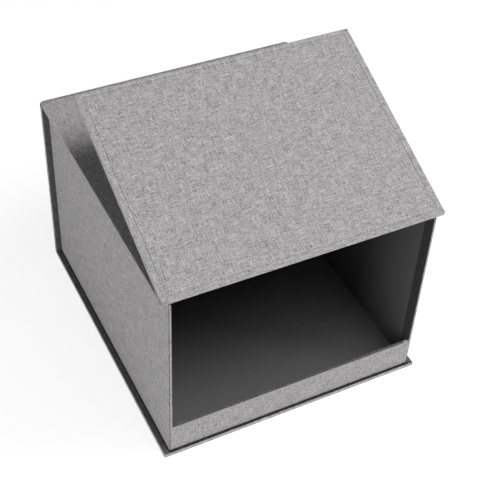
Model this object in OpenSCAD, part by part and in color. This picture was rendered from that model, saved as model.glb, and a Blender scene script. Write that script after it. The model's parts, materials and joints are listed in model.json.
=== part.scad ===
// Photo storage box: an open-topped tray glued into a cloth-covered case that wraps round it.
// The case is four boards in one sheet of canvas: base, spine, lid and front flap.
// X runs across the box, Y from front to rear, Z up; the origin lies under the middle of the base.
// The flap is drawn folded back over the closed lid.

/* [Tray] */
// Width of the tray over its cloth
tray_w = 165; // [120:1:240]
// Depth of the tray over its cloth, front to rear
tray_d = 187; // [120:1:320]
// Height of the tray walls
tray_h = 124; // [90:1:200]
// Height of the low front lip
lip_h = 21; // [10:0.5:60]
// Thickness of the tray's board
tray_board_t = 1.5; // [1:0.1:2.5]
// Thickness of the charcoal lining
lining_t = 0.2; // [0.1:0.05:0.4]
// Depth of the charcoal strips at the front ends of the side walls
turn_in_d = 7.2; // [4:0.1:20]
// How far the wall linings stop below the top of the walls
lining_drop = 0.6; // [0.2:0.1:3]

/* [Case] */
// Thickness of the case boards
case_board_t = 1.95; // [1.5:0.05:3]
// Thickness of the canvas and of the charcoal cloth
cloth_t = 0.35; // [0.2:0.05:0.5]
// How far the case stands out past each side of the tray
side_overhang = 4; // [2:0.1:8]
// How far the base stands out in front of the tray
front_overhang = 2.1; // [1:0.1:6]
// How far the lid's front edge lies behind the tray's front
lid_setback = 2.2; // [1.8:0.1:4]
// Space between the lid and the tops of the walls
lid_seat_gap = 0.1; // [0.05:0.05:0.3]
// How far the spine stops below the tops of the walls
spine_drop = 0.5; // [0.4:0.1:2]
// Outer bend of the cloth where the lid joins the spine
lid_bend_r = 1.4; // [1:0.05:1.4]

/* [Front flap] */
// Angle between the folded-back flap and the lid
flap_rest_angle = 22.6; // [20:0.1:40]
// How far the flap's turning line lies in front of the tray
flap_axis_forward = 1.7; // [1.5:0.05:1.7]
// Height of the flap's turning line above the lid
flap_axis_rise = 2.22; // [2.22:0.02:3]
// Outer bend of the cloth folded round the flap's turning line
fold_r = 0.75; // [0.75:0.05:1]
// Distance from the turning line to the flap's hinge end, along the flap
flap_setback = 2.57; // [2.5:0.01:3]
// Space between the closed flap and the front edge of the base
flap_closed_gap = 0.3; // [0.3:0.05:1]
// Height of the closed flap's free end above the table
flap_foot = 1.55; // [1:0.05:4]
// Width of the flap's turned-in border at the sides
border_side_w = 4; // [2:0.1:10]
// Width of the flap's turned-in border at the free end
border_end_w = 3; // [2:0.1:10]
// Width of the groove between the border and the liner
groove_w = 0.4; // [0.2:0.05:1]

/* [Hidden] */
canvas = [0.67, 0.66, 0.65];
charcoal = [0.2, 0.2, 0.21];
greyboard = [0.52, 0.5, 0.46];
round_fn = 96;

case_t = case_board_t + 2 * cloth_t;
case_w = tray_w + 2 * side_overhang;
case_d = front_overhang + tray_d + case_t;
joint_t = 2 * cloth_t;

base_front_y = -case_d / 2;
tray_front_y = base_front_y + front_overhang;
tray_rear_y = tray_front_y + tray_d;
spine_rear_y = tray_rear_y + case_t;
lid_front_y = tray_front_y + lid_setback;

tray_z = case_t;
tray_top_z = tray_z + tray_h;
lid_z = tray_top_z + lid_seat_gap;
lid_top_z = lid_z + case_t;
spine_top_z = tray_top_z - spine_drop;

wall_t = cloth_t + tray_board_t + lining_t;
board_face_x = tray_w / 2 - cloth_t - tray_board_t;
lining_face_x = tray_w / 2 - wall_t;
floor_top_z = tray_z + tray_board_t;
lining_floor_z = floor_top_z + lining_t;
lip_top_z = tray_z + lip_h;
lining_top_z = tray_top_z - lining_drop;
inner_rear_y = tray_rear_y - wall_t;

lid_axis_y = spine_rear_y - lid_bend_r;
lid_axis_z = lid_top_z - lid_bend_r;

flap_axis_y = tray_front_y - flap_axis_forward;
flap_axis_z = lid_top_z + flap_axis_rise;
flap_outer_v = base_front_y - flap_closed_gap - case_t - flap_axis_y;
flap_len = flap_axis_z - flap_setback - flap_foot;
flap_corner = [flap_setback, flap_outer_v + case_t];
flap_corner_y = flap_axis_y + flap_corner[0] * cos(flap_rest_angle) - flap_corner[1] * sin(flap_rest_angle);
flap_corner_z = flap_axis_z + flap_corner[0] * sin(flap_rest_angle) + flap_corner[1] * cos(flap_rest_angle);

// A block between two opposite corners
module block(low, high) {
    translate(low) cube(high - low);
}

// A block on the right side of the box, from x0 to x1, or its mirror image on the left
module side_block(side, x0, x1, low, high) {
    mirror([side < 0 ? 1 : 0, 0, 0]) block([x0, low[0], low[1]], [x1, high[0], high[1]]);
}

// A block as wide as 2 * half_w, centred across the box
module wide_block(half_w, low, high) {
    block([-half_w, low[0], low[1]], [half_w, high[0], high[1]]);
}

// A profile drawn in the plane of Y and Z, run across the whole case
module across_case() {
    rotate([90, 0, 90]) linear_extrude(case_w, center = true) children();
}

// A quarter of a cloth ring about a centre; turn = 0 faces rear and up
module quarter_ring(centre, outer_r, turn) {
    translate(centre) rotate(turn) intersection() {
        difference() {
            circle(outer_r, $fn = round_fn);
            circle(outer_r - joint_t, $fn = round_fn);
        }
        square(outer_r);
    }
}

// A straight layer of cloth from the turning line, whose outer side passes through target.
// side is 1 where the outer side lies to the left of the way to target, and -1 to the right
module cloth_layer(target, side) {
    way = [target[0] - flap_axis_y, target[1] - flap_axis_z];
    reach = norm(way);
    angle = atan2(way[1], way[0]) - side * asin(joint_t / reach);
    translate([flap_axis_y, flap_axis_z]) rotate(angle) mirror([0, side < 0 ? 1 : 0])
        translate([-cloth_t / 2, 0]) square([reach + case_t, joint_t]);
}

// The flap's own space: Y runs from its hinge end to its free end, Z from its outer to its inner face
module in_flap() {
    translate([0, flap_axis_y, flap_axis_z]) rotate([flap_rest_angle, 0, 0])
        translate([0, flap_setback, flap_outer_v]) children();
}

module base_board() {
    color(greyboard) wide_block(case_w / 2 - cloth_t,
        [base_front_y + cloth_t, cloth_t], [tray_rear_y, case_t - cloth_t]);
}

// Canvas under the base, up its side edges and up its front edge
module base_outer_cloth() {
    color(canvas) difference() {
        wide_block(case_w / 2, [base_front_y, 0], [tray_rear_y, case_t]);
        wide_block(case_w / 2 - cloth_t,
            [base_front_y + cloth_t, cloth_t], [tray_rear_y + cloth_t, case_t + cloth_t]);
    }
}

// Charcoal cloth on top of the base, seen in the overhang round the tray's foot
module base_inner_cloth() {
    color(charcoal) wide_block(case_w / 2 - cloth_t,
        [base_front_y + cloth_t, case_t - cloth_t], [tray_rear_y, case_t]);
}

// Cloth bent round the lower rear corner, from the base to the spine
module base_spine_joint_cloth() {
    color(canvas) across_case() quarter_ring([tray_rear_y, tray_z], case_t, -90);
}

module spine_board() {
    color(greyboard) wide_block(case_w / 2 - cloth_t,
        [tray_rear_y + cloth_t, tray_z], [spine_rear_y - cloth_t, spine_top_z]);
}

// Canvas on the rear of the spine and round its side edges
module spine_outer_cloth() {
    color(canvas) difference() {
        wide_block(case_w / 2, [tray_rear_y, tray_z], [spine_rear_y, spine_top_z]);
        wide_block(case_w / 2 - cloth_t,
            [tray_rear_y - cloth_t, tray_z - cloth_t], [spine_rear_y - cloth_t, spine_top_z + cloth_t]);
    }
}

// Charcoal cloth on the spine's front, glued to the tray and seen past its sides
module spine_inner_cloth() {
    color(charcoal) wide_block(case_w / 2 - cloth_t,
        [tray_rear_y, tray_z], [tray_rear_y + cloth_t, spine_top_z]);
}

module tray_floor_board() {
    color(greyboard) wide_block(board_face_x,
        [tray_front_y + cloth_t + tray_board_t, tray_z],
        [tray_rear_y - cloth_t - tray_board_t, floor_top_z]);
}

module side_wall_board(side) {
    color(greyboard) side_block(side, board_face_x, tray_w / 2 - cloth_t,
        [tray_front_y + cloth_t, tray_z], [tray_rear_y - cloth_t, tray_top_z - cloth_t]);
}

module rear_wall_board() {
    color(greyboard) wide_block(board_face_x,
        [tray_rear_y - cloth_t - tray_board_t, tray_z], [tray_rear_y - cloth_t, tray_top_z - cloth_t]);
}

module front_lip_board() {
    color(greyboard) wide_block(board_face_x,
        [tray_front_y + cloth_t, tray_z], [tray_front_y + cloth_t + tray_board_t, lip_top_z - lining_t]);
}

// Canvas on a side wall, over its top edge and round its front end
module side_wall_cloth(side) {
    color(canvas) union() {
        side_block(side, tray_w / 2 - cloth_t, tray_w / 2,
            [tray_front_y, tray_z], [tray_rear_y - cloth_t, tray_top_z]);
        side_block(side, board_face_x, tray_w / 2 - cloth_t,
            [tray_front_y + cloth_t, tray_top_z - cloth_t], [tray_rear_y - cloth_t, tray_top_z]);
        side_block(side, lining_face_x, tray_w / 2 - cloth_t,
            [tray_front_y, tray_z], [tray_front_y + cloth_t, tray_top_z]);
    }
}

// Canvas on the rear wall and over its top edge
module rear_wall_cloth() {
    color(canvas) union() {
        wide_block(tray_w / 2, [tray_rear_y - cloth_t, tray_z], [tray_rear_y, tray_top_z]);
        wide_block(board_face_x,
            [tray_rear_y - cloth_t - tray_board_t, tray_top_z - cloth_t],
            [tray_rear_y - cloth_t, tray_top_z]);
    }
}

module front_lip_cloth() {
    color(canvas) wide_block(lining_face_x,
        [tray_front_y, tray_z], [tray_front_y + cloth_t, lip_top_z - lining_t]);
}

// Charcoal strip up the inside of a side wall's front end, stepped back behind the lip
module turn_in(side) {
    color(charcoal) union() {
        side_block(side, lining_face_x, board_face_x,
            [tray_front_y + cloth_t, lip_top_z], [tray_front_y + turn_in_d, tray_top_z]);
        side_block(side, lining_face_x, board_face_x,
            [tray_front_y + wall_t, lining_floor_z], [tray_front_y + turn_in_d, lip_top_z]);
    }
}

module floor_lining() {
    color(charcoal) wide_block(board_face_x,
        [tray_front_y + cloth_t + tray_board_t, floor_top_z],
        [tray_rear_y - cloth_t - tray_board_t, lining_floor_z]);
}

module side_wall_lining(side) {
    color(charcoal) side_block(side, lining_face_x, board_face_x,
        [tray_front_y + turn_in_d, lining_floor_z], [inner_rear_y, lining_top_z]);
}

module rear_wall_lining() {
    color(charcoal) wide_block(board_face_x,
        [inner_rear_y, lining_floor_z], [inner_rear_y + lining_t, lining_top_z]);
}

// Charcoal lining behind the lip and over its top edge
module front_lip_lining() {
    color(charcoal) union() {
        wide_block(lining_face_x,
            [tray_front_y + wall_t - lining_t, lining_floor_z], [tray_front_y + wall_t, lip_top_z]);
        wide_block(lining_face_x,
            [tray_front_y, lip_top_z - lining_t], [tray_front_y + wall_t, lip_top_z]);
    }
}

module lid_board() {
    color(greyboard) wide_block(case_w / 2 - cloth_t,
        [lid_front_y, lid_z + cloth_t], [tray_rear_y, lid_top_z - cloth_t]);
}

// Canvas on top of the lid and round its side edges
module lid_outer_cloth() {
    color(canvas) difference() {
        wide_block(case_w / 2, [lid_front_y, lid_z], [tray_rear_y, lid_top_z]);
        wide_block(case_w / 2 - cloth_t,
            [lid_front_y - cloth_t, lid_z - cloth_t], [tray_rear_y + cloth_t, lid_top_z - cloth_t]);
    }
}

module lid_lining() {
    color(charcoal) wide_block(case_w / 2 - cloth_t,
        [lid_front_y, lid_z], [tray_rear_y, lid_z + cloth_t]);
}

// Cloth from the spine's top round the upper rear corner to the lid, bent about the lid's turning line
module spine_lid_joint_cloth() {
    color(canvas) across_case() union() {
        translate([spine_rear_y - joint_t, spine_top_z]) square([joint_t, lid_axis_z - spine_top_z]);
        quarter_ring([lid_axis_y, lid_axis_z], lid_bend_r, 0);
        translate([tray_rear_y, lid_top_z - joint_t]) square([lid_axis_y - tray_rear_y, joint_t]);
    }
}

module flap_board() {
    color(greyboard) in_flap() wide_block(case_w / 2 - cloth_t,
        [0, cloth_t], [flap_len - cloth_t, case_t - cloth_t]);
}

// Canvas on the flap's outer face and round its edges, ending in a border on the inner face
module flap_outer_cloth() {
    color(canvas) in_flap() difference() {
        wide_block(case_w / 2, [0, 0], [flap_len, case_t]);
        wide_block(case_w / 2 - cloth_t, [-cloth_t, cloth_t], [flap_len - cloth_t, case_t - cloth_t]);
        wide_block(case_w / 2 - border_side_w,
            [-cloth_t, cloth_t], [flap_len - border_end_w, case_t + cloth_t]);
    }
}

// Canvas panel set into the border on the flap's inner face
module flap_liner() {
    color(canvas) in_flap() wide_block(case_w / 2 - border_side_w - groove_w,
        [0, case_t - cloth_t], [flap_len - border_end_w - groove_w, case_t]);
}

// Cloth folded double between the lid's front edge and the flap, round the flap's turning line
module lid_flap_joint_cloth() {
    color(canvas) difference() {
        union() {
            across_case() translate([flap_axis_y, flap_axis_z]) circle(fold_r, $fn = round_fn);
            across_case() cloth_layer([lid_front_y, lid_z], -1);
            across_case() cloth_layer([flap_corner_y, flap_corner_z], 1);
        }
        wide_block(case_w, [lid_front_y, lid_z - case_t], [lid_front_y + 2 * case_t, lid_top_z]);
        in_flap() wide_block(case_w, [0, 0], [2 * case_t, 2 * case_t]);
    }
}

base_board();
base_outer_cloth();
base_inner_cloth();
base_spine_joint_cloth();
spine_board();
spine_outer_cloth();
spine_inner_cloth();
tray_floor_board();
side_wall_board(-1);  // left_wall_board
side_wall_board(1);  // right_wall_board
rear_wall_board();
front_lip_board();
side_wall_cloth(-1);  // left_wall_cloth
side_wall_cloth(1);  // right_wall_cloth
rear_wall_cloth();
front_lip_cloth();
turn_in(-1);  // left_turn_in
turn_in(1);  // right_turn_in
floor_lining();
side_wall_lining(-1);  // left_wall_lining
side_wall_lining(1);  // right_wall_lining
rear_wall_lining();
front_lip_lining();
lid_board();
lid_outer_cloth();
lid_lining();
spine_lid_joint_cloth();
flap_board();
flap_outer_cloth();
flap_liner();
lid_flap_joint_cloth();
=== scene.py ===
import json
import math
import bpy
import numpy as np
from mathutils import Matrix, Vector


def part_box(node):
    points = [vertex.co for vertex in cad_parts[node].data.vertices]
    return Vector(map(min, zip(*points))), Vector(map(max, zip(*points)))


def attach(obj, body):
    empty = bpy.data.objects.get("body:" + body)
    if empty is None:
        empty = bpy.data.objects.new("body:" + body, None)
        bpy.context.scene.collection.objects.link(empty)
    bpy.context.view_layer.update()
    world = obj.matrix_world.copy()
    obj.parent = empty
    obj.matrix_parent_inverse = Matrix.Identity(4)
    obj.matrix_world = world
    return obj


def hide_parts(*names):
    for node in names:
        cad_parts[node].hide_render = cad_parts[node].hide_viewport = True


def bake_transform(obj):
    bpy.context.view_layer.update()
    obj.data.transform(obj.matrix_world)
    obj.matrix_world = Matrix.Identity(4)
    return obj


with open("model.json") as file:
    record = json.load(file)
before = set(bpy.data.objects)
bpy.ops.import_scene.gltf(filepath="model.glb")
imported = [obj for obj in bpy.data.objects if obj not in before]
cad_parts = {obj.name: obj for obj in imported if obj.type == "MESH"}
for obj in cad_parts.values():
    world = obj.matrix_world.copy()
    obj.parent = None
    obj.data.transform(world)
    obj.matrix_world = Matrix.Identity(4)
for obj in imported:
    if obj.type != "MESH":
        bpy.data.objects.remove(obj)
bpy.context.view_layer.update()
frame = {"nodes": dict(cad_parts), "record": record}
mm = 0.001


# Sizes taken from the frame

def corners(*names):
    # Lowest and highest corner of several nodes together, as arrays
    boxes = [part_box(name) for name in names]
    return np.min([b[0] for b in boxes], axis=0), np.max([b[1] for b in boxes], axis=0)


def jointPoint(name):
    # Where a hinge's turning line crosses the middle of the box, as (y, z)
    joint = next(j for j in frame["record"]["behaviour"]["joints"] if j["name"] == name)
    return np.array(joint["pos_m"][1:])


baseLow, baseHigh = corners("base_outer_cloth")
spineLow, spineHigh = corners("spine_outer_cloth")
lidLow, lidHigh = corners("lid_outer_cloth")
trayLow, trayHigh = corners("left_wall_cloth", "right_wall_cloth", "rear_wall_cloth")
boardFace = corners("rear_wall_board")[1][0]
lipTop = corners("front_lip_lining")[1][2]
liningFace = corners("front_lip_lining")[1][0]
caseThick = baseHigh[2] - baseLow[2]
caseHalf = baseHigh[0]
lidAxis = jointPoint("lid_hinge")
print("frame loaded, case width", round(2 * caseHalf / mm, 2), "mm")


# Camera

cameraView = {
    "place": (-0.23437, -0.45017, 0.53833),
    "turnDegrees": (46.5265, -2.3032, -26.3820),
    "lens": 81.27, "sensor": 36, "clip": (0.05, 20),
}


def makeCamera(settings):
    # A perspective camera at the photograph's place, turn and lens
    data = bpy.data.cameras.new("camera")
    data.lens = settings["lens"]
    data.sensor_width = settings["sensor"]
    data.clip_start, data.clip_end = settings["clip"]
    camera = bpy.data.objects.new("camera", data)
    camera.location = settings["place"]
    camera.rotation_euler = [math.radians(a) for a in settings["turnDegrees"]]
    bpy.context.scene.collection.objects.link(camera)
    bpy.context.scene.camera = camera


makeCamera(cameraView)
print("camera placed")


# Shader maths

class Wire:
    # One output of a node; arithmetic on it adds Math nodes

    def __init__(self, sheet, socket):
        self.sheet, self.socket = sheet, socket

    def other(self, output):
        # Another output of the same node
        return Wire(self.sheet, self.socket.node.outputs[output])

    def maths(self, operation, *values):
        return self.sheet.node("ShaderNodeMath", {"operation": operation}, dict(enumerate(values)))

    def __add__(self, other):
        return self.maths("ADD", self, other)

    def __sub__(self, other):
        return self.maths("SUBTRACT", self, other)

    def __rsub__(self, other):
        return self.maths("SUBTRACT", other, self)

    def __mul__(self, other):
        return self.maths("MULTIPLY", self, other)

    __radd__, __rmul__ = __add__, __mul__

    def __abs__(self):
        return self.maths("ABSOLUTE", self)

    def whole(self):
        return self.maths("FLOOR", self)

    def sine(self):
        return self.maths("SINE", self)

    def most(self, other):
        return self.maths("MAXIMUM", self, other)

    def least(self, other):
        return self.maths("MINIMUM", self, other)

    def clamp(self):
        return self.most(0.0).least(1.0)


class Sheet:
    # The node tree of a material, or of another owner such as the world

    def __init__(self, name, owner=None):
        self.owner = owner or bpy.data.materials.new(name)
        self.owner.use_nodes = True
        self.tree = self.owner.node_tree
        self.tree.nodes.clear()

    def node(self, kind, settings=None, values=None, output=0):
        # Adds a node of any type: settings first, then numbers or wires into its sockets
        made = self.tree.nodes.new(kind)
        for key, value in (settings or {}).items():
            setattr(made, key, value)
        for key, value in (values or {}).items():
            socket = made.inputs[key]
            if isinstance(value, Wire):
                self.tree.links.new(value.socket, socket)
            else:
                socket.default_value = value
        return None if output is None else Wire(self, made.outputs[output])

    def mix(self, factor, first, second):
        # The colour that is the factor's share of the way from the first to the second
        return self.node("ShaderNodeMix", {"data_type": "RGBA"}, {0: factor, 6: first, 7: second}, 2)

    def finish(self, tone, roughness, bump, **fixed):
        # The main shader: tone, roughness and bump may vary, the rest are fixed numbers on its own sockets
        values = {"Base Color": tone, "Roughness": roughness, "Normal": bump, **fixed}
        shader = self.node("ShaderNodeBsdfPrincipled", None, values)
        self.node("ShaderNodeOutputMaterial", None, {"Surface": shader}, None)
        return self.owner


# Cloth finishes; pitch, toneRun, widths, lengths, sizes and depths are in mm, and tones are shares of the
# way from dark to light

weaveLook = {
    "pitch": 0.5, "mottleSize": 8.0, "weaveShade": 0.15, "weaveMean": 0.6, "crossingEdge": 3,
    "wobbleSize": 6, "columnWobble": 1.3, "rowWobble": 1.1, "threadApart": 3.7,
    "shifts": {"wobble": 3.0, "along": 23.0, "across": 11.0, "mottle": 7.0},
    "bumpStrength": 0.7, "roughnessRange": 0.06,
    "fixed": {"Sheen Weight": 0.08, "Sheen Roughness": 0.5, "Specular IOR Level": 0.2},
}
canvasLook = {
    **weaveLook, "light": (0.712, 0.694, 0.704, 1), "dark": (0.126, 0.122, 0.124, 1),
    "toneRun": 0.5, "threadTone": 0.95, "slubWidth": 0.38, "slubLength": 7.5,
    "alongTone": 0.72, "acrossTone": 0.62, "mottleTone": 0.05,
    "threadDepth": 0.09, "slubDepth": 0.12, "roughness": 0.88,
}
charcoalLook = {
    **weaveLook, "light": (0.235, 0.229, 0.232, 1), "dark": (0.012, 0.0117, 0.0119, 1),
    "toneRun": 0.7, "threadTone": 1.0, "slubWidth": 0.42, "slubLength": 5.0,
    "alongTone": 0.45, "acrossTone": 0.4, "mottleTone": 0.14,
    "threadDepth": 0.08, "slubDepth": 0.08, "roughness": 0.9,
}
blackLook = {
    **charcoalLook, "light": (0.056, 0.054, 0.055, 1), "dark": (0.003, 0.0028, 0.003, 1),
    "slubDepth": 0.2, "alongTone": 0.7, "acrossTone": 0.6,
}


def scaled(sheet, place, across, along, shift=0.0):
    # The place in the cloth, divided by a width across and a length along in mm, and then shifted
    size = (1 / (across * mm), 1 / (along * mm), 1)
    values = {"Vector": place, "Scale": size, "Location": (shift, shift, 0)}
    return sheet.node("ShaderNodeMapping", None, values)


def noise(sheet, vector, detail=1.0):
    # Noise in the plane, about one swing to a unit
    values = {"Vector": vector, "Scale": 1.0, "Detail": detail}
    return sheet.node("ShaderNodeTexNoise", {"noise_dimensions": "2D"}, values)


def threadTone(sheet, number, along, look):
    # Each thread has its own slowly changing tone: noise over (thread number, distance along it)
    run = look["pitch"] / look["toneRun"]
    spot = sheet.node("ShaderNodeCombineXYZ", None, {0: number * look["threadApart"], 1: along * run})
    return noise(sheet, spot, 0.0)


def wovenCloth(name, look):
    # Plain weave: threads are half sines across, and the warp lies on top where the two waves agree.
    # A slub is a long narrow noise; painted highlights on edges and painted shade in seams, grooves and round
    # the tray's foot come from the piece's own point attribute of painted light. The tone is the sum of these
    # and half, less the mean of each but the painted light
    sheet = Sheet(name)
    pitch, shifts = look["pitch"], look["shifts"]
    place = sheet.node("ShaderNodeUVMap", {"uv_map": "weave"})
    wobble = noise(sheet, scaled(sheet, place, look["wobbleSize"], look["wobbleSize"], shifts["wobble"]))
    split = sheet.node("ShaderNodeSeparateXYZ", None, {0: scaled(sheet, place, pitch, pitch)})
    column = split + wobble * look["columnWobble"]
    row = split.other(1) + wobble * look["rowWobble"]
    columnWave, rowWave = (column * math.pi).sine(), (row * math.pi).sine()
    crossing = columnWave * rowWave
    over = (crossing * look["crossingEdge"] + 0.5).clamp()
    warp = abs(columnWave) * (0.5 + crossing * 0.5)
    weft = abs(rowWave) * (0.5 - crossing * 0.5)
    weave = warp.most(weft)
    warpTone = threadTone(sheet, column.whole(), row, look)
    weftTone = threadTone(sheet, row.whole(), column, look)
    thread = warpTone * over + weftTone * (1 - over)
    long, wide, cloud = look["slubLength"], look["slubWidth"], look["mottleSize"]
    alongSlub = noise(sheet, scaled(sheet, place, long, wide, shifts["along"]))
    acrossSlub = noise(sheet, scaled(sheet, place, wide, long, shifts["across"]))
    mottle = noise(sheet, scaled(sheet, place, cloud, cloud, shifts["mottle"]), 2.0)
    # The point attribute of painted light: painted highlights and painted shade added to the tone
    paintedLight = sheet.node("ShaderNodeAttribute", {"attribute_name": "paintedLight"}, None, 2)
    middle = 0.5 * (1 - look["threadTone"] - look["alongTone"] - look["acrossTone"] - look["mottleTone"])
    middle = middle - look["weaveMean"] * look["weaveShade"]
    # The weave term is a painted shade: lighter on the thread crests and darker in the gaps between threads
    tone = thread * look["threadTone"] + alongSlub * look["alongTone"] + acrossSlub * look["acrossTone"]
    tone = tone + mottle * look["mottleTone"] + weave * look["weaveShade"] + paintedLight + middle
    shade = tone.clamp()
    colour = sheet.mix(shade, look["dark"], look["light"])
    relief = (alongSlub + acrossSlub) * (0.5 * look["slubDepth"] * mm)
    height = weave * (look["threadDepth"] * mm) + relief
    bumpValues = {"Height": height, "Distance": 1.0, "Strength": look["bumpStrength"]}
    bump = sheet.node("ShaderNodeBump", None, bumpValues)
    roughness = shade * -look["roughnessRange"] + (look["roughness"] + 0.5 * look["roughnessRange"])
    return sheet.finish(colour, roughness, bump, **look["fixed"])


# Paper and board finishes; fibre, cloud and relief are in mm

pressedLook = {
    "fibre": 0.6, "fibreTone": 1.3, "cloud": 25.0, "cloudTone": 0.8, "relief": 0.03,
    "bumpStrength": 0.5, "roughness": 0.8, "roughnessRange": 0.1, "gloss": 0.3,
}
wallPaperLook = {**pressedLook, "light": (0.098, 0.095, 0.097, 1), "dark": (0.074, 0.072, 0.073, 1)}
floorPaperLook = {**pressedLook, "light": (0.135, 0.131, 0.133, 1), "dark": (0.103, 0.1, 0.102, 1)}
boardLook = {
    **pressedLook, "light": (0.33, 0.31, 0.27, 1), "dark": (0.2, 0.185, 0.16, 1),
    "fibre": 0.8, "cloud": 12.0, "roughness": 0.9,
}


def pressedFibre(name, look):
    # Paper or board on object coordinates: the tone is half, plus fine fibre specks and soft clouds about
    # their own middle
    sheet = Sheet(name)
    place = sheet.node("ShaderNodeTexCoord", None, None, 3)
    fibreSize = 1 / (look["fibre"] * mm)
    cloudSize = 1 / (look["cloud"] * mm)
    fibre = sheet.node("ShaderNodeTexNoise", None, {"Vector": place, "Scale": fibreSize, "Detail": 3.0})
    cloud = sheet.node("ShaderNodeTexNoise", None, {"Vector": place, "Scale": cloudSize, "Detail": 2.0})
    tone = ((fibre - 0.5) * look["fibreTone"] + (cloud - 0.5) * look["cloudTone"] + 0.5).clamp()
    colour = sheet.mix(tone, look["dark"], look["light"])
    height = fibre * (look["relief"] * mm)
    bumpValues = {"Height": height, "Distance": 1.0, "Strength": look["bumpStrength"]}
    bump = sheet.node("ShaderNodeBump", None, bumpValues)
    roughness = look["roughness"] - tone * look["roughnessRange"]
    return sheet.finish(colour, roughness, bump, **{"Specular IOR Level": look["gloss"]})


canvas = wovenCloth("canvas", canvasLook)
charcoalCloth = wovenCloth("charcoalCloth", charcoalLook)
blackCloth = wovenCloth("blackCloth", blackLook)
wallPaper = pressedFibre("wallPaper", wallPaperLook)
floorPaper = pressedFibre("floorPaper", floorPaperLook)
greyboard = pressedFibre("greyboard", boardLook)
print("materials made")


# Mesh building

meshRules = {
    "decimals": 8,  # points that agree to this many decimals of a metre are one
    "edgeTurns": 5,  # lines round half of each rounded edge
    "closest": 1e-6,  # lines nearer together than this are one, in metres
    "slack": 1e-9,  # how far a line may lie past the slab's side, in metres
    "pairShift": 0.31, "faceShift": 0.17,  # where the weave starts on each pair of faces and face, in metres
    "waves": 7,  # slow waves added up in an uneven cloth
}


def makePiece(name, points, quads, weave, materials, slots=None, paintedLight=None):
    # A mesh from arrays: points, four corners per face, a cloth place per corner, a material per face
    # and a painted light per point: a painted highlight that lightens the cloth above nothing and painted
    # shade that darkens it below.
    # Known fault: the sum below isn't the volume, which needs np.cross(second - fourth, third - kept[0]).
    # So most of the pieces made here have faces that point inwards
    rounded = np.round(points, meshRules["decimals"])
    kept, forward, backward = np.unique(rounded, axis=0, return_index=True, return_inverse=True)
    quads = backward.reshape(-1)[quads]
    first, second, third, fourth = (kept[quads[:, i]] for i in range(4))
    if np.einsum("ij,ij->", first - kept[0], np.cross(second - kept[0] + fourth - third, third - kept[0])) < 0:
        quads, weave = quads[:, ::-1], weave.reshape(-1, 4, 2)[:, ::-1]
    mesh = bpy.data.meshes.new(name)
    mesh.vertices.add(len(kept))
    mesh.vertices.foreach_set("co", kept.ravel())
    mesh.loops.add(quads.size)
    mesh.loops.foreach_set("vertex_index", quads.ravel())
    mesh.polygons.add(len(quads))
    mesh.polygons.foreach_set("loop_start", np.arange(0, quads.size, 4))
    mesh.polygons.foreach_set("use_smooth", np.ones(len(quads), bool))
    if slots is not None:
        mesh.polygons.foreach_set("material_index", slots)
    mesh.uv_layers.new(name="weave").data.foreach_set("uv", weave.reshape(-1, 2).ravel())
    tones = np.zeros(len(kept)) if paintedLight is None else np.asarray(paintedLight, float)[forward]
    # Each point's painted highlight, above nothing, and painted shade, below it, which the cloth's tone adds
    mesh.attributes.new("paintedLight", "FLOAT", "POINT").data.foreach_set("value", tones)
    for material in materials:
        mesh.materials.append(material)
    mesh.update(calc_edges=True)
    mesh.validate()
    piece = bpy.data.objects.new(name, mesh)
    bpy.context.scene.collection.objects.link(piece)
    return piece


def turned(centre, radius, degrees):
    # Points on a circle in the plane, at angles from its first direction
    angle = np.radians(np.atleast_1d(degrees))
    return centre + radius * np.stack([np.cos(angle), np.sin(angle)], axis=1)


def between(first, last, count):
    # Evenly spaced points on a straight line, without its last one
    share = np.linspace(0, 1, count, endpoint=False)[:, None]
    return np.array(first) + (np.array(last) - np.array(first)) * share


def edgeLines(half, radius, step, extra):
    # Places along one side of a slab: even steps in the middle and even turns round each edge
    turns = radius * np.tan(np.radians(np.linspace(0, 45, meshRules["edgeTurns"])))
    inner = half - radius
    middle = np.linspace(-inner, inner, max(2, int(round(2 * inner / step)) + 1))
    lines = np.concatenate([middle, inner + turns, -inner - turns, extra])
    lines = np.sort(lines[np.abs(lines) <= half + meshRules["slack"]])
    return lines[np.concatenate([[True], np.diff(lines) > meshRules["closest"]])]


def gridQuads(rows, columns):
    # Corner numbers of the faces of a grid with that many rows and columns of points
    start = (np.arange(rows - 1)[:, None] * columns + np.arange(columns - 1)[None, :]).ravel()
    return np.stack([start, start + columns, start + columns + 1, start + 1], axis=1)


def roundedSlab(half, radius, step, extra):
    # A box with round edges: a point on the box is drawn in to the inner box and pushed out by the radius.
    # Returns points, quads, each corner's flat cloth place and each point's roundness from 0 to 1
    lines = [edgeLines(half[i], radius, step, extra[i]) for i in range(3)]
    points, quads, places, rounds, count = [], [], [], [], 0
    for up in range(3):
        first, second = (up + 1) % 3, (up + 2) % 3
        for sign in (1, -1):
            a, b = np.meshgrid(lines[first], lines[second], indexing="ij")
            grid = np.empty((a.size, 3))
            grid[:, first], grid[:, second], grid[:, up] = a.ravel(), b.ravel(), sign * half[up]
            inner = np.clip(grid, -(half - radius), half - radius)
            away = grid - inner
            normal = away / np.linalg.norm(away, axis=1, keepdims=True)
            grid = inner + normal * radius
            faces = gridQuads(len(lines[first]), len(lines[second]))
            if sign < 0:
                faces = faces[:, ::-1]
            flat = grid[:, sorted((first, second))]
            shift = meshRules["pairShift"] * up + meshRules["faceShift"] * (sign > 0)
            points.append(grid)
            rounds.append((1 - np.abs(normal).max(axis=1)) / (1 - math.sqrt(0.5)))
            quads.append(faces + count)
            places.append(flat[faces] + shift)
            count += len(grid)
    return np.concatenate(points), np.concatenate(quads), np.concatenate(places), np.concatenate(rounds)


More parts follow.
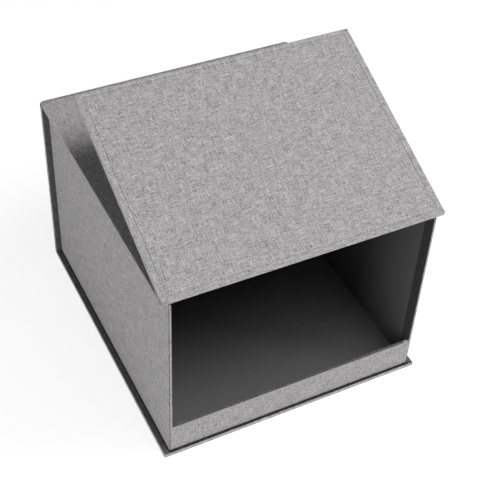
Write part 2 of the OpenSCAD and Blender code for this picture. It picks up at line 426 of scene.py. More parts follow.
def slabBetween(low, high, radius, step, extra=((), (), ())):
    # A rounded slab between two corners of the box's own space, with extra lines across its three directions
    low, high = np.array(low), np.array(high)
    middle = (low + high) / 2
    moved = [np.array(lines, float) - middle[i] for i, lines in enumerate(extra)]
    points, quads, places, rounds = roundedSlab((high - low) / 2, radius, step, moved)
    return points + middle, quads, places, rounds


def unevenness(points, depth, size, seed):
    # Slow waves of random direction and phase, averaged, for cloth that isn't quite flat
    random = np.random.default_rng(seed)
    waves = random.normal(size=(meshRules["waves"], 3)) * (2 * math.pi / size)
    phases = random.uniform(0, 2 * math.pi, meshRules["waves"])
    return depth * np.sin(points @ waves.T + phases).sum(axis=1) / meshRules["waves"]


# Base and spine, one bent sheet of canvas over two boards. All looks from here on are in mm, apart from
# tones, counts of lines, seeds and what their notes say

shellLook = {
    "radius": 0.8, "step": 3.0, "innerBend": 0.25, "bendLines": 13, "underFacing": 0.05,
    "grooveDepth": 0.3, "grooveWidth": 0.9, "grooveAt": 1.1, "grooveReach": 2.4, "grooveLines": 9,
    "wave": 0.06, "waveSize": 60, "seed": 3, "edgeHighlight": 0.07, "grooveShade": -0.18,
}


def makeCaseShell(look):
    # The slab's length runs along the base, round a quarter turn and up the spine. A groove on either side
    # of the turn is a bell curve of the length. In the turn a point's angle is its share of the turn's
    # length, and its reach is its distance from the slab's inner face
    radius, step = look["radius"] * mm, look["step"] * mm
    run = baseHigh[1] - baseLow[1]
    turn = caseThick * math.pi / 2
    rise = spineHigh[2] - spineLow[2]
    total = run + turn + rise
    bends = run + turn * np.linspace(0, 1, look["bendLines"])
    lines = np.linspace(0, look["grooveReach"], look["grooveLines"]) * mm
    low, high = (-caseHalf, 0, 0), (caseHalf, total, caseThick - look["underFacing"] * mm)
    extra = ((), np.concatenate([bends, run - lines, run + turn + lines]), ())
    points, quads, places, rounds = slabBetween(low, high, radius, step, extra)
    x, s, v = points.T
    width, aside = look["grooveWidth"] * mm, look["grooveAt"] * mm
    dip = sum(np.exp(-((s - at) / width) ** 2) for at in (run - aside, run + turn + aside))
    outer = np.clip(1 - v / (0.5 * caseThick), 0, 1)
    v = v + outer * dip * look["grooveDepth"] * mm
    wave = look["wave"] * mm
    v = v + outer * (unevenness(points, wave, look["waveSize"] * mm, look["seed"]) + wave)
    angle = np.clip((s - run) / turn, 0, 1) * math.pi / 2
    inTurn = (s > run) & (s < run + turn)
    reach = caseThick - np.where(inTurn, np.minimum(v, caseThick - look["innerBend"] * mm), v)
    y = baseHigh[1] + reach * np.sin(angle) + np.minimum(s - run, 0)
    z = baseHigh[2] - reach * np.cos(angle) + np.maximum(s - run - turn, 0)
    # Rounded edges are lighter, a painted highlight, and the grooves beside the turn are darker, painted shade
    paintedLight = rounds * look["edgeHighlight"] + outer * dip * look["grooveShade"]
    return makePiece("caseCanvas", np.stack([x, y, z], axis=1), quads, places, [canvas], paintedLight=paintedLight)


caseCanvas = makeCaseShell(shellLook)
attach(caseCanvas, "box")
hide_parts("base_outer_cloth", "base_spine_joint_cloth", "spine_outer_cloth")


# Flat charcoal cloths

facingLook = {"radius": 0.12, "step": 4.0, "edgeHighlight": 0.12}
leftTurnInLook = {"radius": 0.08, "step": 3.0, "edgeHighlight": 0.12}
# The foot's tone darkens the facing round the tray's foot, a painted shadow
footLook = {"reachSide": 0.6, "reachFront": 1.9, "tone": -0.6, "lines": (0, 0.35, 0.7, 1.05, 1.4, 1.9)}


def makePanel(name, body, node, material, look, foot=False):
    # A thin rounded slab in a node's place. Round the tray's foot it is darker, a painted shadow where the
    # tray stands, by a bell curve of the distance from the tray in reaches. Its rounded edges are lighter, a
    # painted highlight
    low, high = corners(node)
    lines = np.array(footLook["lines"]) * mm
    besideTray = np.concatenate([trayHigh[0] + lines, -trayHigh[0] - lines])
    extra = (besideTray, trayLow[1] - lines, ()) if foot else ((), (), ())
    points, quads, places, rounds = slabBetween(low, high, look["radius"] * mm, look["step"] * mm, extra)
    aside = np.maximum(np.abs(points[:, 0]) - trayHigh[0], 0) / (footLook["reachSide"] * mm)
    ahead = np.maximum(trayLow[1] - points[:, 1], 0) / (footLook["reachFront"] * mm)
    footShadow = np.exp(-aside ** 2 - ahead ** 2) * foot
    paintedLight = footShadow * footLook["tone"] + rounds * look["edgeHighlight"]
    piece = makePiece(name, points, quads, places, [material], paintedLight=paintedLight)
    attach(piece, body)
    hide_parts(node)


makePanel("baseFacing", "box", "base_inner_cloth", charcoalCloth, facingLook, foot=True)
makePanel("spineFacing", "box", "spine_inner_cloth", charcoalCloth, facingLook)
makePanel("lidFacing", "lid", "lid_lining", charcoalCloth, facingLook)
makePanel("leftTurnIn", "box", "left_turn_in", blackCloth, leftTurnInLook)
print("case made")


# Tray walls, one closed ring of canvas that steps down at the front

trayLook = {
    "outerCorner": 0.7, "innerCorner": 0.15, "edge": 0.5, "innerEdge": 0.25, "foot": 0.45, "step": 3.0,
    "stepRun": 0.24, "overBoard": 0.06, "underRim": 0.04, "insideBoard": 0.02,
    "cornerLines": 7, "seamLines": 10, "edgeLines": 5, "heightLines": 20,
    "seamReach": 36, "seamTurn": 24.0, "seamWidth": 26.0,  # degrees round from the front
    # Painted light: the seam up each front corner is darker, painted shade, and the rim and front corners
    # lighter, painted highlights
    "seamDepth": 0.1, "seamShade": -0.6, "rimHighlight": 0.16, "cornerHighlight": 0.06,
    "clearEnd": 0.02,  # share of the front at each end without lines of its own
}


def cornerPath(halfX, low, high, corner, steps, turns):
    # A rounded rectangle walked from the right end of the front, with the same count of points for any size.
    # steps holds the places along each side as shares of the side, turns the angles round each corner
    insetX, insetLow, insetHigh = halfX - corner, low + corner, high - corner
    centres = np.array([(insetX, insetLow), (insetX, insetHigh), (-insetX, insetHigh), (-insetX, insetLow)])
    pieces = []
    for number, centre in enumerate(centres):
        pieces.append(turned(centre, corner, -90 + 90 * number + turns))
        start = pieces[-1][-1]
        stop = turned(centres[(number + 1) % 4], corner, 90 * number)[0]
        pieces.append(start + (stop - start) * steps[number][:, None])
    return np.concatenate(pieces)


def trayPlan(look, thick):
    # The ring's outer and inner paths as (x, y), and which of their points lie along the front
    step, outerCorner = look["step"] * mm, look["outerCorner"] * mm
    seamTurns = np.linspace(0, look["seamReach"], look["seamLines"])
    turns = np.unique(np.concatenate([np.linspace(0, 90, look["cornerLines"]), seamTurns, 90 - seamTurns]))
    sideShares = np.linspace(0, 1, int((trayHigh[1] - trayLow[1]) / step))[1:-1]
    rearShares = np.linspace(0, 1, int(2 * trayHigh[0] / step))[1:-1]
    # Lines stand close together where the ring steps down to the lip
    halfRun = look["stepRun"] * mm / 2
    marks = boardFace + halfRun * np.array([-3, -1, 1, 3])
    marks = np.concatenate([marks, -marks]) / (2 * (trayHigh[0] - outerCorner)) + 0.5
    inside = (rearShares > look["clearEnd"]) & (rearShares < 1 - look["clearEnd"])
    frontShares = np.sort(np.concatenate([rearShares[inside], marks]))
    steps = [sideShares, rearShares, sideShares, frontShares]
    outer = cornerPath(trayHigh[0], trayLow[1], trayHigh[1], outerCorner, steps, turns)
    inner = cornerPath(
        trayHigh[0] - thick, trayLow[1] + thick, trayHigh[1] - thick, look["innerCorner"] * mm, steps, turns)
    # The inner path keeps the outer path's places along the front, so the step down stays upright
    onFront = np.arange(len(outer)) >= len(outer) - len(frontShares)
    reach = boardFace - look["insideBoard"] * mm
    inner[onFront, 0] = np.clip(outer[onFront, 0], -reach, reach)
    return outer, inner, onFront


def frontCorners(look, outer):
    # The two front corners as shares from 0 to 1: the seam up each, a bell curve of the angle that the
    # outer path has turned from the front, and the corner itself, a half sine of that angle
    outerCorner = look["outerCorner"] * mm
    inCorner = (np.abs(outer[:, 0]) > trayHigh[0] - outerCorner) & (outer[:, 1] < trayLow[1] + outerCorner)
    aside = np.abs(outer[:, 0]) - trayHigh[0] + outerCorner
    fromFront = np.degrees(np.arctan2(aside, trayLow[1] + outerCorner - outer[:, 1]))
    seam = np.exp(-((fromFront - look["seamTurn"]) / look["seamWidth"]) ** 2) * inCorner
    return seam, np.sin(2 * np.radians(np.clip(fromFront, 0, 90))) * inCorner


def makeTrayWalls(look):
    # A section of the wall is carried round the tray; the section's height is the wall's or the lip's.
    # It runs up the outer face from a rounded foot, round the top edge and down the inner face. A point's
    # plan is its share of the way from the outer path to the inner one
    thick = trayHigh[0] - boardFace + look["overBoard"] * mm
    outer, inner, onFront = trayPlan(look, thick)
    seam, corner = frontCorners(look, outer)
    onLip = onFront & (np.abs(outer[:, 0]) < boardFace)
    rim = np.where(onLip, lipTop - look["underRim"] * mm, trayHigh[2])
    foot, floor = look["foot"] * mm, trayLow[2]
    arc = np.radians(np.linspace(0, 90, look["edgeLines"]))
    rises = np.linspace(0, 1, look["heightLines"])[1:]
    footRise = np.broadcast_to(floor + foot * (1 - np.cos(arc)), (len(outer), len(arc)))

    def wallSide(edge):
        # Heights and distances in from the wall's side, both along quarter circles at the foot and top edge
        straight = floor + foot + (rim[:, None] - edge - floor - foot) * rises[None, :]
        top = rim[:, None] - edge + edge * np.sin(arc[1:])[None, :]
        inward = [foot * (1 - np.sin(arc)), np.zeros(len(rises)), edge * (1 - np.cos(arc[1:]))]
        return np.concatenate([footRise, straight, top], axis=1), np.concatenate(inward)

    upOut, acrossOut = wallSide(look["edge"] * mm)
    upIn, acrossIn = wallSide(look["innerEdge"] * mm)
    across = np.concatenate([acrossOut, thick - acrossIn[::-1]]) / thick
    up = np.concatenate([upOut, upIn[:, ::-1]], axis=1)
    rows, columns = up.shape
    half = len(acrossOut)
    onOuter = np.arange(columns) < half
    share = across[None, :] + (look["seamDepth"] * mm / thick) * seam[:, None] * onOuter[None, :]
    plan = outer[:, None, :] + (inner - outer)[:, None, :] * share[:, :, None]
    points = np.concatenate([plan, up[:, :, None]], axis=2).reshape(-1, 3)
    nextRow = (np.arange(rows) + 1) % rows
    nextColumn = (np.arange(columns) + 1) % columns
    here = np.arange(rows)[:, None] * columns + np.arange(columns)[None, :]
    there = here[nextRow]
    quads = np.stack([here, there, there[:, nextColumn], here[:, nextColumn]], axis=-1).reshape(-1, 4)
    # The cloth's place is the length walked round the tray and the length climbed over the section
    walked = np.concatenate([[0], np.cumsum(np.linalg.norm(np.diff(outer, axis=0), axis=1))])
    closing = walked[-1] + np.linalg.norm(outer[0] - outer[-1])
    thisWalk = np.repeat(walked[:, None], columns, axis=1)
    nextWalk = np.repeat(np.append(walked[1:], closing)[:, None], columns, axis=1)
    climb = np.concatenate([up[:, :half], 2 * up[:, half - 1:half] - up[:, half:]], axis=1)
    nextClimb = climb[nextRow]

    def nextColumnOf(lengths):
        # The last column's next is a wall's thickness further, across the foot
        return np.concatenate([lengths[:, 1:], lengths[:, -1:] + thick], axis=1)

    places = np.stack([
        np.stack([thisWalk, climb], axis=-1), np.stack([nextWalk, nextClimb], axis=-1),
        np.stack([nextWalk, nextColumnOf(nextClimb)], axis=-1),
        np.stack([thisWalk, nextColumnOf(climb)], axis=-1)], axis=2)
    # The rounded top edge, but not on the lip, and the front corners are lighter, a painted highlight, and the
    # seams darker, painted shade
    rimTurn = np.concatenate([np.zeros(half - len(arc)), np.sin(arc)])
    rimTurn = np.concatenate([rimTurn, rimTurn[::-1]]) ** 2
    rimPaintedHighlight = rimTurn[None, :] * look["rimHighlight"] * ~onLip[:, None]
    paintedLight = np.maximum(rimPaintedHighlight, corner[:, None] * onOuter * look["cornerHighlight"])
    paintedLight = paintedLight + seam[:, None] * onOuter[None, :] * look["seamShade"]
    return makePiece("trayCanvas", points, quads, places.reshape(-1, 2), [canvas], paintedLight=paintedLight.ravel())


trayCanvas = makeTrayWalls(trayLook)
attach(trayCanvas, "box")
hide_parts("left_wall_cloth", "right_wall_cloth", "rear_wall_cloth", "front_lip_cloth")


# Cloths bent over an edge: the lip's lining, and the strip inside the right wall

bentLook = {"bendReach": 0.6, "bendLines": 7}
lipLook = {
    **bentLook, "leftGap": 0.25, "rightGap": 3.0, "lipDepth": 2.05, "frontGap": 0.25,
    "thick": 0.3, "radius": 0.12, "step": 1.5, "bend": 0.5,
}
turnInLook = {
    **bentLook, "over": 0.45, "behindLip": 1.2, "proud": 0.08, "topGap": 0.5, "notch": 0.12,
    "thick": 0.2, "radius": 0.08, "step": 2.0, "bend": 0.35,
}


def bentStrip(low, high, rise, look, lines=()):
    # A flat strip, long in x, whose second direction turns over through a quarter circle at the height rise.
    # Returns quads, cloth places and three lengths per point: along, up and over
    thick, bend = look["thick"] * mm, look["bend"] * mm
    bendLines = rise + np.linspace(-look["bendReach"], look["bendReach"], look["bendLines"]) * mm
    points, quads, places = slabBetween(
        (*low, 0), (*high, thick), look["radius"] * mm, look["step"] * mm, (lines, bendLines, ()))[:3]
    x, s, v = points.T
    start = rise - bend
    quarter = bend * math.pi / 2
    angle = np.clip((s - start) / quarter, 0, 1) * math.pi / 2
    past = np.maximum(s - start - quarter, 0)
    reach = bend - thick + v
    up = np.minimum(s, start) + reach * np.sin(angle)
    return quads, places, (x, up, bend - reach * np.cos(angle) + past)


def makeLipLining(look):
    # A strip that runs up behind the lip, over its top and ends at its front edge
    behind = trayLow[1] + look["lipDepth"] * mm
    floor = corners("floor_lining")[1][2]
    rise = lipTop - floor
    low = (look["leftGap"] * mm - liningFace, 0)
    high = (liningFace - look["rightGap"] * mm, rise + behind - trayLow[1] - look["frontGap"] * mm)
    quads, places, (along, up, over) = bentStrip(low, high, rise, look)
    points = np.stack([along, behind - over, floor + up], axis=1)
    return makePiece("lipLining", points, quads, places, [charcoalCloth])


def makeRightTurnIn(look):
    # The strip inside the right wall, which also turns round the wall's front end, as the photo shows.
    # Below the lip's top it keeps behind the lip
    low, high = corners("right_turn_in")
    rise = high[1] - trayLow[1] + look["proud"] * mm
    ends = (low[2], 0), (trayHigh[2] - look["topGap"] * mm, rise + look["over"] * mm)
    notch = lipTop + np.array([0, look["notch"]]) * mm
    quads, places, (along, inward, over) = bentStrip(*ends, rise, look, notch)
    forward = high[1] - inward
    behindLip = np.maximum(forward, trayLow[1] + look["behindLip"] * mm)
    forward = np.where(along < notch.mean(), behindLip, forward)
    points = np.stack([liningFace + over, forward, along], axis=1)
    return makePiece("rightTurnIn", points, quads, places, [blackCloth])


rightTurnIn = makeRightTurnIn(turnInLook)
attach(rightTurnIn, "box")
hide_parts("right_turn_in")
lipLining = makeLipLining(lipLook)
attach(lipLining, "box")
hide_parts("front_lip_lining")
print("tray made")


# Lid

lidLook = {
    "radius": 0.8, "step": 3.0, "underFacing": 0.05,
    "wave": 0.08, "waveSize": 70, "seed": 8, "edgeHighlight": 0.32,
}


def makeLid(look):
    # A rounded slab of canvas whose top face is a little uneven; its underside carries the charcoal facing
    low = lidLow + np.array([0, 0, look["underFacing"] * mm])
    points, quads, places, rounds = slabBetween(low, lidHigh, look["radius"] * mm, look["step"] * mm)
    top = np.clip((points[:, 2] - lidLow[2]) / caseThick * 2 - 1, 0, 1)
    wave = look["wave"] * mm
    points[:, 2] += top * (unevenness(points, wave, look["waveSize"] * mm, look["seed"]) - wave)
    # The lid's rounded edges are lighter, a painted highlight
    return makePiece("lidCanvas", points, quads, places, [canvas], paintedLight=rounds * look["edgeHighlight"])


lidCanvas = makeLid(lidLook)
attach(lidCanvas, "lid")
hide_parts("lid_outer_cloth")


# Flap, drawn flat and then turned up about its hinge

flapLook = {
    "radius": 0.8, "step": 2.5, "borderSide": 4.0, "borderEnd": 3.0, "hingeLap": 0.25,
    "recess": 0.16, "recessEdge": 0.07, "groove": 0.3, "rollWidth": 0.45,
    "wave": 0.1, "waveSize": 60, "seed": 5,
    "edgeHighlight": 0.08, "grooveShade": -0.48, "rollHighlight": 0.1, "fadeStart": 4, "fadeRun": 14,
    "inner": 0.6,  # share of the thickness past which a point counts as on the inner face
}
linerLook = {
    "thick": 0.2, "radius": 0.09, "hingeGap": 0.06, "wave": 0.05, "waveSize": 50, "seed": 9, "edgeHighlight": 0.14,
}


def flapPlace():
    # The flap's outer face runs from its lowest corner to its rearmost one: that corner, the angle of the
    # run from the level and its length
    mesh = frame["nodes"]["flap_outer_cloth"].data
    spots = np.empty(len(mesh.vertices) * 3)
    mesh.vertices.foreach_get("co", spots)
    yz = spots.reshape(-1, 3)[:, 1:]
    lowest, rearmost = yz[np.argmin(yz[:, 1])], yz[np.argmax(yz[:, 0])]
    run = rearmost - lowest
    return lowest, math.atan2(run[1], run[0]), np.linalg.norm(run)


flapCorner, flapTurn, flapLength = flapPlace()
print("flap turn", round(math.degrees(flapTurn), 2), "length", round(flapLength / mm, 2))


def flapDirections():
    # The directions along the flap and through it, from its outer face to its inner one, in (y, z)
    along = np.array([math.cos(flapTurn), math.sin(flapTurn)])
    return along, np.array([-along[1], along[0]])


def stand(points):
    # Turns points from (across, along the flap, through it) into the box's space
    along, through = flapDirections()
    yz = flapCorner + points[:, 1:2] * along + points[:, 2:3] * through
    return np.column_stack([points[:, 0], yz])


def makeFlapCover(look):
    # A rounded slab whose inner face has a shallow recess for the liner, inside a turned-in border.
    # The recess is darker, a painted shade that shows in the groove round the liner and fades towards the
    # hinge, and the rolled border's inner lip is a little lighter, a painted highlight, by a bell curve of the
    # distance from the recess. Rounded edges are lighter, a painted highlight
    insetX = caseHalf - look["borderSide"] * mm
    insetEnd = flapLength - look["borderEnd"] * mm
    marks = np.array([-3, -1, 1, 3]) * look["recessEdge"] * mm
    extra = (np.concatenate([marks - insetX, marks + insetX]), insetEnd + marks, ())
    low, high = (-caseHalf, -look["hingeLap"] * mm, 0), (caseHalf, flapLength, caseThick)
    points, quads, places, rounds = slabBetween(low, high, look["radius"] * mm, look["step"] * mm, extra)
    side, end = np.abs(points[:, 0]) - insetX, points[:, 1] - insetEnd
    inside = (side < 0) & (end < 0) & (points[:, 2] > look["inner"] * caseThick)
    points[inside, 2] -= look["recess"] * mm
    outer = np.clip(1 - points[:, 2] / (0.5 * caseThick), 0, 1)
    wave = look["wave"] * mm
    points[:, 2] += outer * (unevenness(points, wave, look["waveSize"] * mm, look["seed"]) + wave)
    fade = np.clip((points[:, 1] - look["fadeStart"] * mm) / (look["fadeRun"] * mm), 0, 1)
    upper = points[:, 2] > look["inner"] * caseThick
    roll = np.exp(-(np.maximum(side, end) / (look["rollWidth"] * mm)) ** 2) * upper * ~inside
    # Painted highlights on the edges and the border's lip, painted shade in the groove
    paintedLight = rounds * look["edgeHighlight"] + inside * fade * look["grooveShade"] + roll * fade * look["rollHighlight"]
    return makePiece("flapCanvas", stand(points), quads, places, [canvas], paintedLight=paintedLight)


def makeFlapLiner(look):
    # A thin panel in the recess, a groove's width inside the border. Near the hinge it bends down along the
    # cover's round edge
    gap = (flapLook["borderSide"] + flapLook["groove"]) * mm
    endGap = (flapLook["borderEnd"] + flapLook["groove"]) * mm
    low = (-caseHalf + gap, (look["hingeGap"] - flapLook["hingeLap"]) * mm, caseThick - look["thick"] * mm)
    high = (caseHalf - gap, flapLength - endGap, caseThick)
    points, quads, places, rounds = slabBetween(low, high, look["radius"] * mm, flapLook["step"] * mm)
    points[:, 2] += unevenness(points, look["wave"] * mm, look["waveSize"] * mm, look["seed"])
    radius = flapLook["radius"] * mm
    past = np.clip(radius - flapLook["hingeLap"] * mm - points[:, 1], 0, radius)
    points[:, 2] -= radius - np.sqrt(radius ** 2 - past ** 2)
    # The liner's rounded edges are lighter, a painted highlight
    return makePiece("flapLiner", stand(points), quads, places, [canvas], paintedLight=rounds * look["edgeHighlight"])


flapCanvas = makeFlapCover(flapLook)
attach(flapCanvas, "flap")
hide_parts("flap_outer_cloth")
flapLiner = makeFlapLiner(linerLook)
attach(flapLiner, "flap")
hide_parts("flap_liner")
print("lid and flap made")


# Cloth joints

bandLook = {
    "rollLines": 6, "acrossLines": 60,
    "rollShare": 0.42,  # most of the cloth's thickness that a rolled end loses on each side
}
foldLook = {
    "reach": 3.35, "radius": 0.62, "noseLines": 14, "splitReach": 2.3, "corner": 1.4, "roll": 0.7,
    "webDepth": 0.45, "webHalf": 0.15, "webLines": 33, "lap": 0.33, "tuckRun": 0.45, "tuckDepth": 0.06,
    "intoLidEdge": 0.15, "intoLidTop": 0.4,
    "underLines": 6, "faceLines": 6, "lapLines": 8, "lidLines": 24, "flapLines": 8,
    "flapShare": 0.45,  # how far the split's lower side goes from the flap's round edge to its corner
}
rearLook = {
    # The tone darkens the joint's outer face, a painted shade where the cloth bends away to the back
    "cloth": 0.7, "radius": 1.4, "turnLines": 25, "roll": 0.2, "corner": 2.2, "tone": -0.2,
    "lap": 0.7, "nearLap": 0.1, "tuck": 0.1, "straightLines": 5,
}


def makeStrip(name, outer, inner, roll, materials, cornerRadius, facing, tone=0.0):
    # An outer and an inner curve of (y, z) points, carried across the case, with its ends rolled over.
    # Towards the facing direction in (y, z) the two ends are drawn in along a quarter circle.
    # Faces on the outer curve take the first material and the tone, a painted shade, and the rest take the
    # last material
    turns = np.radians(np.linspace(90, 0, bandLook["rollLines"]))
    endX = caseHalf - roll + roll * np.sin(turns)
    middleX = np.linspace(roll - caseHalf, caseHalf - roll, bandLook["acrossLines"])[1:-1]
    xs = np.concatenate([-endX, middleX, endX[::-1]])
    drawn = np.concatenate([1 - np.cos(turns), np.zeros(len(middleX)), 1 - np.cos(turns[::-1])])
    gap = np.linalg.norm(outer - inner, axis=1, keepdims=True)
    away = (outer - inner) / gap * np.minimum(roll, bandLook["rollShare"] * gap)
    ring = np.concatenate([outer, inner[::-1]])
    pull = np.concatenate([away, -away[::-1]])
    rows, columns, half = len(xs), len(ring), len(outer)
    points = np.empty((rows, columns, 3))
    points[:, :, 0] = xs[:, None]
    points[:, :, 1:] = ring[None] - pull[None] * drawn[:, None, None]
    far = ring @ (np.array(facing) / np.linalg.norm(facing))
    short = np.clip(cornerRadius - (far.max() - far), 0, cornerRadius)
    points[:, :, 0] *= 1 - (cornerRadius - np.sqrt(cornerRadius ** 2 - short ** 2)) / caseHalf
    here = np.arange(rows)[:, None] * columns + np.arange(columns)[None, :]
    after = here[:, (np.arange(columns) + 1) % columns]
    sides = np.stack([here[:-1], here[1:], after[1:], after[:-1]], axis=-1).reshape(-1, 4)
    # The cloth's place is the place across the case and the length walked round the two curves
    lengths = np.linalg.norm(np.roll(ring, -1, axis=0) - ring, axis=1)
    walked = np.concatenate([[0], np.cumsum(lengths)])
    u = np.repeat(xs[:, None], columns, axis=1)
    nearer = np.repeat(walked[None, :-1], rows - 1, axis=0)
    further = np.repeat(walked[None, 1:], rows - 1, axis=0)
    places = np.stack([
        np.stack([u[:-1], nearer], axis=-1), np.stack([u[1:], nearer], axis=-1),
        np.stack([u[1:], further], axis=-1), np.stack([u[:-1], further], axis=-1)], axis=2).reshape(-1, 4, 2)
    i = np.arange(half - 1)
    cap = np.stack([i, i + 1, columns - 2 - i, columns - 1 - i], axis=1)
    lastCap = cap[:, ::-1] + (rows - 1) * columns
    points = points.reshape(-1, 3)
    quads = np.concatenate([sides, cap, lastCap])
    places = np.concatenate([places, points[cap][:, :, 1:], points[lastCap][:, :, 1:]])
    onInner = np.tile(np.arange(columns) >= half - 1, rows - 1)
    slots = np.concatenate([onInner, np.zeros(2 * len(cap), bool)]).astype(np.int32) * (len(materials) - 1)
    # The outer curve's points are darker by the tone, a painted shade
    paintedLight = np.tile((np.arange(columns) < half) * tone, rows)
    return makePiece(name, points, quads, places, materials, slots, paintedLight)


def makeFoldedJoint(look):
    # Lid to flap: the flap's inner face runs on flat to a rounded front edge, which turns under and back
    # to the lid. A narrow split between lid and flap ends in a thin web
    along, through = flapDirections()

    def spot(run, height):
        # A place by its run along the flap and its height through it, or a row of places
        return flapCorner + np.multiply.outer(run, along) + np.multiply.outer(height, through)

    lidRadius, flapRadius, radius = lidLook["radius"] * mm, flapLook["radius"] * mm, look["radius"] * mm
    lidUnder = np.array([lidLow[1] + lidRadius, lidLow[2] + lidRadius])
    start, end, webAt = radius - look["reach"] * mm, look["lap"] * mm, -look["splitReach"] * mm
    nose, web = spot(start, caseThick - radius), spot(webAt, caseThick)
    back = (np.array([lidLow[1], lidHigh[2]]) + flapCorner) / 2 - web
    split = back / np.linalg.norm(back)
    across = np.array([-split[1], split[0]])
    webHalf = look["webHalf"] * mm
    edge = across * webHalf
    # The line that touches both the lid's round edge and the nose leaves them at the angle under
    gap = lidUnder - nose
    lean = math.asin((lidRadius - radius) / np.linalg.norm(gap))
    under = math.degrees(math.atan2(gap[1], gap[0])) - 90 + math.degrees(lean)
    face = math.degrees(flapTurn) + 90
    wave = np.sin(np.radians(np.linspace(-90, 90, look["webLines"])))
    zone = webHalf / (along @ across)
    underStart = turned(lidUnder, lidRadius - look["intoLidEdge"] * mm, under)[0]
    outer = np.concatenate([
        between(underStart, turned(nose, radius, under)[0], look["underLines"]),
        turned(nose, radius, np.linspace(under % 360, face, look["noseLines"])),
        spot(np.linspace(start, webAt - zone, look["faceLines"])[1:-1], caseThick),
        spot(webAt + zone * wave, caseThick),
        spot(np.linspace(webAt + zone, end, look["lapLines"])[1:], caseThick),
        [spot(end + look["tuckRun"] * mm, caseThick - look["tuckDepth"] * mm)]])
    bottom = web + split * look["webDepth"] * mm + split * webHalf
    intoLid = np.array([-1, 1]) * look["intoLidTop"] * mm
    lidEnd = np.array([lidLow[1] + lidRadius, lidHigh[2] - lidRadius]) + intoLid
    flapUnder = spot(flapRadius - flapLook["hingeLap"] * mm, flapRadius)
    flapEnd = flapUnder + (flapCorner - flapUnder) * look["flapShare"]
    turn = math.degrees(math.atan2(split[1], split[0])) + 180
    inner = np.concatenate([
        between(lidEnd, bottom - edge, look["lidLines"]),
        turned(bottom, webHalf, turn - np.degrees(np.arcsin(wave))),
        between(flapEnd, bottom + edge, look["flapLines"])[::-1]])
    band = makeStrip("lidFlapJoint", outer, inner, look["roll"] * mm, [canvas], look["corner"] * mm, (-1, 0))
    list(web - edge)
    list(web + edge)
    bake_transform(band)
    return band


def makeRearJoint(look):
    # Spine to lid: each side of the cloth runs up the back, along a quarter circle about the hinge and
    # forward to the lid
    bend, lap, nearLap = look["radius"] * mm, look["lap"] * mm, look["nearLap"] * mm
    turns = np.linspace(0, 90, look["turnLines"])

    def curve(radius, tuck):
        # One side of the cloth, at a radius from the hinge, its ends tucked in
        back, top = lidAxis + radius
        up = between([back, spineHigh[2] - nearLap], [back, lidAxis[1]], look["straightLines"])
        forward = between([lidHigh[1] + nearLap, top], [lidAxis[0], top], look["straightLines"])[::-1]
        first, last = [[back - tuck, spineHigh[2] - lap]], [[lidHigh[1] - lap, top - tuck]]
        return np.concatenate([first, up, turned(lidAxis, radius, turns), forward, last])

    outer, inner = curve(bend, look["tuck"] * mm), curve(bend - look["cloth"] * mm, 0)
    materials = [canvas, charcoalCloth]
    roll, corner = look["roll"] * mm, look["corner"] * mm
    band = makeStrip("spineLidJoint", outer, inner, roll, materials, corner, (1, 1), look["tone"])
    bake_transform(band)
    return band


foldedJoint = makeFoldedJoint(foldLook)
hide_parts("lid_flap_joint_cloth")
rearJoint = makeRearJoint(rearLook)
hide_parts("spine_lid_joint_cloth")
print("cloth joints made")


# Finishes for the boards and linings that stay as the frame has them

def dressNodes(finishes):
    # Each material takes the place of what its nodes came with
    for material, names in finishes:
        for name in names:
            mesh = frame["nodes"][name].data
            mesh.materials.clear()
            mesh.materials.append(material)


dressNodes([
    (greyboard, ["base_board", "spine_board", "tray_floor_board", "left_wall_board", "right_wall_board",
                 "rear_wall_board", "front_lip_board", "lid_board", "flap_board"]),
    (wallPaper, ["left_wall_lining", "right_wall_lining", "rear_wall_lining"]),
    (floorPaper, ["floor_lining"]),
])


# Studio; places and sizes are in metres, powers in watts

studioLook = {
    "floorReach": 4, "floorTone": (0.85, 0.85, 0.85, 1),
    "floorOwnLight": 0.72, "floorOwnTone": (1.18, 1.18, 1.18, 1),
    "sky": (1.0, 1.0, 1.0, 1), "skyStrength": 0.04, "lampAim": (0, 0, 0.06),
    "lamps": {
        "highFrontLamp": {"place": (0.25, -0.8, 1.6), "size": 0.8, "power": 12.0},
        "highRightLamp": {"place": (1.8, -0.8, 2.1), "size": 1.3, "power": 40.0},
        "leftLamp": {"place": (-1.7, -0.4, 0.2), "size": 0.6, "power": 13.6},
        "backLamp": {"place": (0.5, 1.6, 0.35), "size": 0.6, "power": 3.5},
        "lowFrontLamp": {"place": (0, -1.6, 0.15), "size": 0.5, "power": 4.7},
    },
}


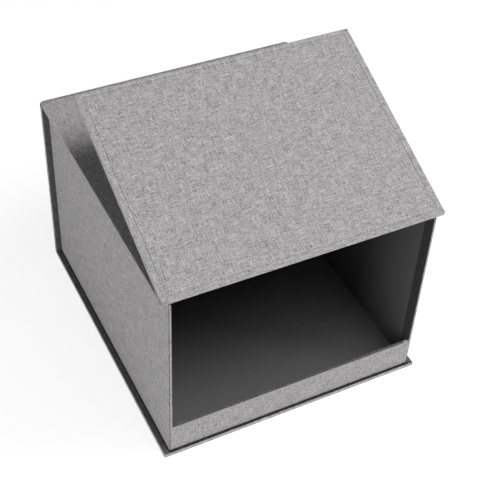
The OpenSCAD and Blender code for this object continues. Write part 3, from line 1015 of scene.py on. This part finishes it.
def seenBackground(sheet):
    # 1 for rays from the camera, reflections and clear surfaces, and 0 for those that light the object
    ray = sheet.node("ShaderNodeLightPath")
    return (ray + ray.other("Is Glossy Ray") + ray.other("Is Transmission Ray")).clamp()


def makeFloor(look):
    # A square that keeps the box's shadow. Where it is seen, a share of its own even light makes it white
    sheet = Sheet("floor")
    lit = sheet.node("ShaderNodeBsdfDiffuse", None, {"Color": look["floorTone"]})
    own = sheet.node("ShaderNodeEmission", None, {"Color": look["floorOwnTone"], "Strength": 1.0})
    share = seenBackground(sheet) * look["floorOwnLight"]
    mixed = sheet.node("ShaderNodeMixShader", None, {0: share, 1: lit, 2: own})
    sheet.node("ShaderNodeOutputMaterial", None, {"Surface": mixed}, None)
    mesh = bpy.data.meshes.new("floor")
    r = look["floorReach"]
    mesh.from_pydata([(-r, -r, 0), (r, -r, 0), (r, r, 0), (-r, r, 0)], [], [(0, 1, 2, 3)])
    mesh.materials.append(sheet.owner)
    floor = bpy.data.objects.new("floor", mesh)
    bpy.context.scene.collection.objects.link(floor)


def makeSky(look):
    # The sky lights softly, at the sky's strength, but is white where it is seen
    world = bpy.data.worlds.new("studio")
    sheet = Sheet("studio", world)
    strength = seenBackground(sheet) * (1 - look["skyStrength"]) + look["skyStrength"]
    sky = sheet.node("ShaderNodeBackground", None, {"Color": look["sky"], "Strength": strength})
    sheet.node("ShaderNodeOutputWorld", None, {"Surface": sky}, None)
    bpy.context.scene.world = world


def makeLamps(look):
    # Square lamps that face the middle of the box
    for name, lamp in look["lamps"].items():
        data = bpy.data.lights.new(name, "AREA")
        data.shape, data.size, data.energy = "SQUARE", lamp["size"], lamp["power"]
        made = bpy.data.objects.new(name, data)
        made.location = lamp["place"]
        facing = Vector(look["lampAim"]) - Vector(lamp["place"])
        made.rotation_euler = facing.to_track_quat("-Z", "Y").to_euler()
        bpy.context.scene.collection.objects.link(made)


makeFloor(studioLook)
makeSky(studioLook)
makeLamps(studioLook)
bpy.context.scene.view_settings.view_transform = "Standard"
print("studio made")
